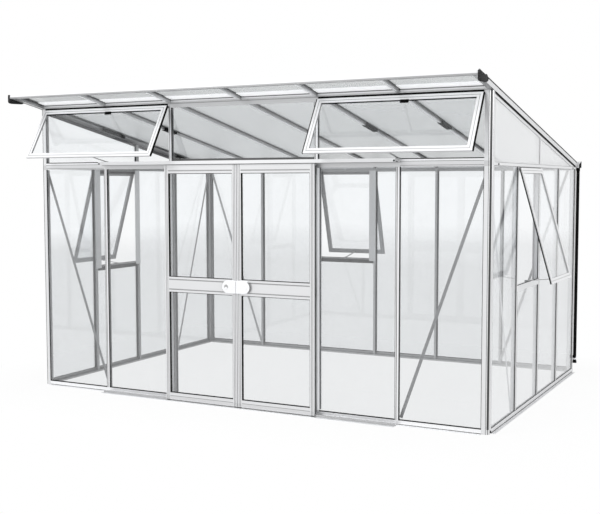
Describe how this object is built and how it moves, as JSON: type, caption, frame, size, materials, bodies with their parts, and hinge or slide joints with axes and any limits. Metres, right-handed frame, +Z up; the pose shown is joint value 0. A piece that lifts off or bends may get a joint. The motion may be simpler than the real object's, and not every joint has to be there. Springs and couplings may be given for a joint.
{
  "type": "glass greenhouse",
  "caption": "Aluminium framed glass greenhouse with a single-pitch roof, sliding double doors in its high front wall, and top-hung vents and windows standing open.",
  "frame": {"origin": "On the ground under the middle of the front wall's outer face, on the underside of the front sill.", "axes": "+X to the right as seen from in front, along the doors' slide; +Y from the front wall to the back wall; +Z up."},
  "size_m": [4.2652, 3.1266, 2.3631],
  "materials": {
    "aluminium": "mill finish, satin",
    "white_metal": "satin white",
    "dark_plastic": "matt dark grey",
    "glass": "clear toughened sheet"
  },
  "bodies": {
    "frame": {"back_left_post": "aluminium", "back_right_post": "aluminium", "back_wall_frame": "aluminium", "back_wall_glass": "glass", "back_window_frame": "white_metal", "back_window_glass": "glass", "door_bottom_track": "aluminium", "door_top_track": "aluminium", "downpipe": "dark_plastic", "front_head_frame": "aluminium", "front_left_bar": "aluminium", "front_left_brace": "aluminium", "front_left_glass": "glass", "front_left_post": "aluminium", "front_right_bar": "aluminium", "front_right_brace": "aluminium", "front_right_glass": "glass", "front_right_post": "aluminium", "front_sill": "aluminium", "front_transom": "aluminium", "front_upper_glass": "glass", "gutter": "aluminium", "left_door_post": "aluminium", "left_gable_glass": "glass", "left_roof_bar": "aluminium", "left_vent_frame": "white_metal", "left_vent_glass": "glass", "left_wall_frame": "aluminium", "left_wall_glass": "glass", "left_window_frame": "white_metal", "left_window_glass": "glass", "rafter_1": "aluminium", "rafter_2": "aluminium", "rafter_3": "aluminium", "rafter_4": "aluminium", "rafter_5": "aluminium", "right_door_post": "aluminium", "right_gable_glass": "glass", "right_roof_bar": "aluminium", "right_vent_frame": "white_metal", "right_vent_glass": "glass", "right_wall_frame": "aluminium", "right_wall_glass": "glass", "right_window_frame": "white_metal", "right_window_glass": "glass", "roof_cap_left": "dark_plastic", "roof_cap_right": "dark_plastic", "roof_front_edge": "white_metal", "roof_glass": "glass"},
    "left_door_leaf": {"left_door_frame": "aluminium", "left_door_glass": "glass", "left_handle": "white_metal"},
    "right_door_leaf": {"right_door_frame": "aluminium", "right_door_glass": "glass", "right_handle": "white_metal"}
  },
  "joints": [
    {"name": "left_door_slide", "type": "slide", "parent": "frame", "child": "left_door_leaf", "axis": [-1, 0, 0], "range_m": [0, 0.6]},
    {"name": "right_door_slide", "type": "slide", "parent": "frame", "child": "right_door_leaf", "axis": [1, 0, 0], "range_m": [0, 0.6]}
  ]
}
